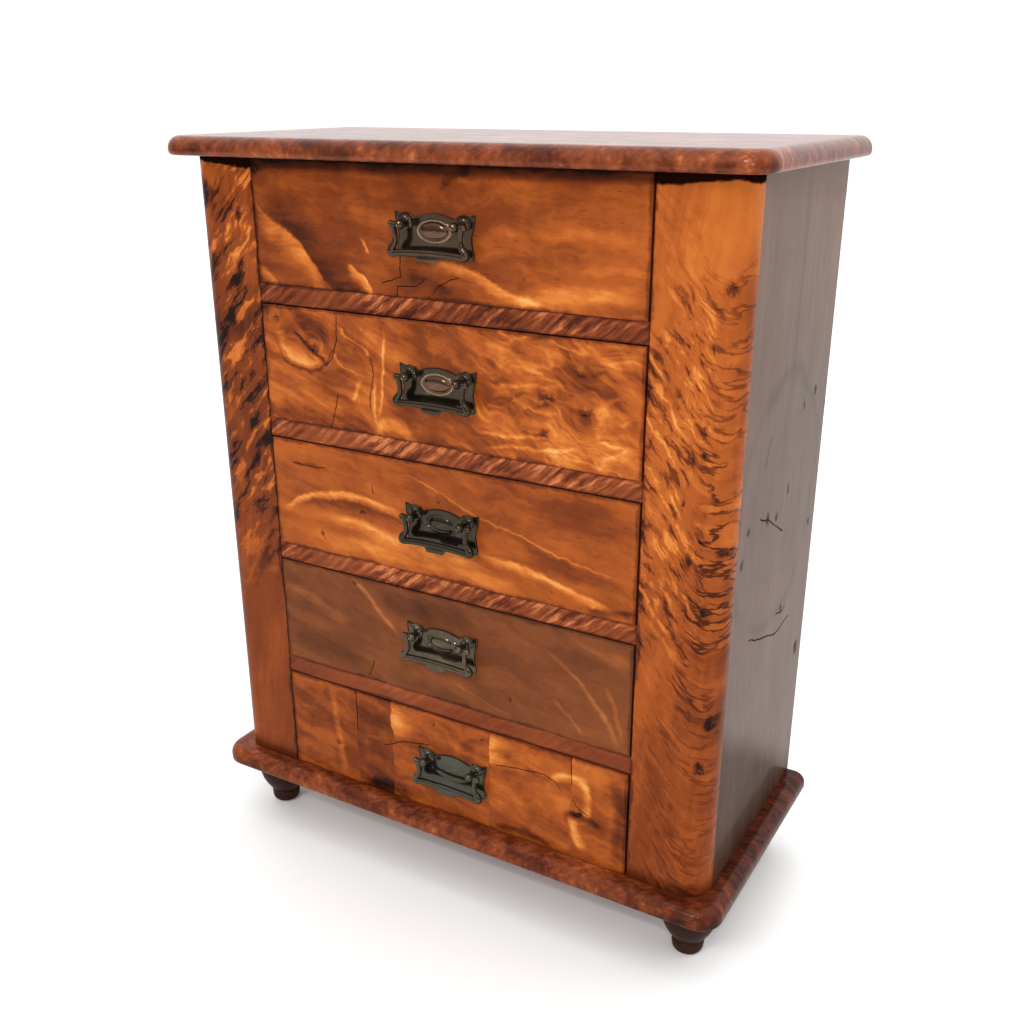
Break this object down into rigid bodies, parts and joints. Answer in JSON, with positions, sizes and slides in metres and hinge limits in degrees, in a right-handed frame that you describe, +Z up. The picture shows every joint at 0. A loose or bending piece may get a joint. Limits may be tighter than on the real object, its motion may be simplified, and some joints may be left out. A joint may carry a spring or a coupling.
{
  "type": "miniature chest of drawers",
  "caption": "Small chest of long drawers between wide rounded corner boards, with moulded top and base, turned feet and a swing bail pull on every drawer.",
  "frame": {"origin": "on the floor under the middle of the chest, seen from above with the handles at rest", "axes": "+Z up, drawers open towards -Y, +X to the right of someone facing the drawers"},
  "size_m": [0.429, 0.2014, 0.5382],
  "materials": {
    "figured_front": "french-polished figured veneer",
    "moulded_board": "french-polished dark red-brown",
    "rail_wood": "french-polished red-brown",
    "side_wood": "french-polished, grain upright",
    "foot_wood": "dark polished",
    "lining_wood": "bare planed softwood",
    "back_wood": "bare planed softwood, aged",
    "handle_bronze": "aged bronze",
    "iron_nail": "dull"
  },
  "bodies": {
    "carcass": {"top_board": "moulded_board", "base_board": "moulded_board", "side_left": "side_wood", "side_right": "side_wood", "stile_left": "figured_front", "stile_right": "figured_front", "back_panel": "back_wood", "back_panel_nails": "iron_nail", "rail_1": "rail_wood", "rail_2": "rail_wood", "rail_3": "rail_wood", "rail_4": "rail_wood", "drawer_runners": "lining_wood", "drawer_guides": "lining_wood", "drawer_stops": "lining_wood", "foot_front_left": "foot_wood", "foot_front_right": "foot_wood", "foot_back_left": "foot_wood", "foot_back_right": "foot_wood"},
    "drawer_1": {"drawer_1_front": "figured_front", "drawer_1_side_left": "lining_wood", "drawer_1_side_right": "lining_wood", "drawer_1_back": "lining_wood", "drawer_1_bottom": "lining_wood", "drawer_1_handle_plate": "handle_bronze", "drawer_1_handle_posts": "handle_bronze"},
    "bail_1": {"drawer_1_bail": "handle_bronze"},
    "drawer_2": {"drawer_2_front": "figured_front", "drawer_2_side_left": "lining_wood", "drawer_2_side_right": "lining_wood", "drawer_2_back": "lining_wood", "drawer_2_bottom": "lining_wood", "drawer_2_handle_plate": "handle_bronze", "drawer_2_handle_posts": "handle_bronze"},
    "bail_2": {"drawer_2_bail": "handle_bronze"},
    "drawer_3": {"drawer_3_front": "figured_front", "drawer_3_side_left": "lining_wood", "drawer_3_side_right": "lining_wood", "drawer_3_back": "lining_wood", "drawer_3_bottom": "lining_wood", "drawer_3_handle_plate": "handle_bronze", "drawer_3_handle_posts": "handle_bronze"},
    "bail_3": {"drawer_3_bail": "handle_bronze"},
    "drawer_4": {"drawer_4_front": "figured_front", "drawer_4_side_left": "lining_wood", "drawer_4_side_right": "lining_wood", "drawer_4_back": "lining_wood", "drawer_4_bottom": "lining_wood", "drawer_4_handle_plate": "handle_bronze", "drawer_4_handle_posts": "handle_bronze"},
    "bail_4": {"drawer_4_bail": "handle_bronze"},
    "drawer_5": {"drawer_5_front": "figured_front", "drawer_5_side_left": "lining_wood", "drawer_5_side_right": "lining_wood", "drawer_5_back": "lining_wood", "drawer_5_bottom": "lining_wood", "drawer_5_handle_plate": "handle_bronze", "drawer_5_handle_posts": "handle_bronze"},
    "bail_5": {"drawer_5_bail": "handle_bronze"}
  },
  "joints": [
    {"name": "drawer_1_slide", "type": "slide", "parent": "carcass", "child": "drawer_1", "axis": [0, -1, 0], "range_m": [0, 0.13]},
    {"name": "bail_1_swing", "type": "hinge", "parent": "drawer_1", "child": "bail_1", "pos_m": [0.0005, -0.09525, 0.4897], "axis": [-1, 0, 0], "range_deg": [-14, 198]},
    {"name": "drawer_2_slide", "type": "slide", "parent": "carcass", "child": "drawer_2", "axis": [0, -1, 0], "range_m": [0, 0.13]},
    {"name": "bail_2_swing", "type": "hinge", "parent": "drawer_2", "child": "bail_2", "pos_m": [0, -0.09525, 0.394], "axis": [-1, 0, 0], "range_deg": [-14, 198]},
    {"name": "drawer_3_slide", "type": "slide", "parent": "carcass", "child": "drawer_3", "axis": [0, -1, 0], "range_m": [0, 0.13]},
    {"name": "bail_3_swing", "type": "hinge", "parent": "drawer_3", "child": "bail_3", "pos_m": [0.0005, -0.09525, 0.2974], "axis": [-1, 0, 0], "range_deg": [-14, 198]},
    {"name": "drawer_4_slide", "type": "slide", "parent": "carcass", "child": "drawer_4", "axis": [0, -1, 0], "range_m": [0, 0.13]},
    {"name": "bail_4_swing", "type": "hinge", "parent": "drawer_4", "child": "bail_4", "pos_m": [-0.0018, -0.09525, 0.2075], "axis": [-1, 0, 0], "range_deg": [-14, 198]},
    {"name": "drawer_5_slide", "type": "slide", "parent": "carcass", "child": "drawer_5", "axis": [0, -1, 0], "range_m": [0, 0.13]},
    {"name": "bail_5_swing", "type": "hinge", "parent": "drawer_5", "child": "bail_5", "pos_m": [0.0046, -0.09525, 0.1064], "axis": [-1, 0, 0], "range_deg": [-14, 198]}
  ]
}
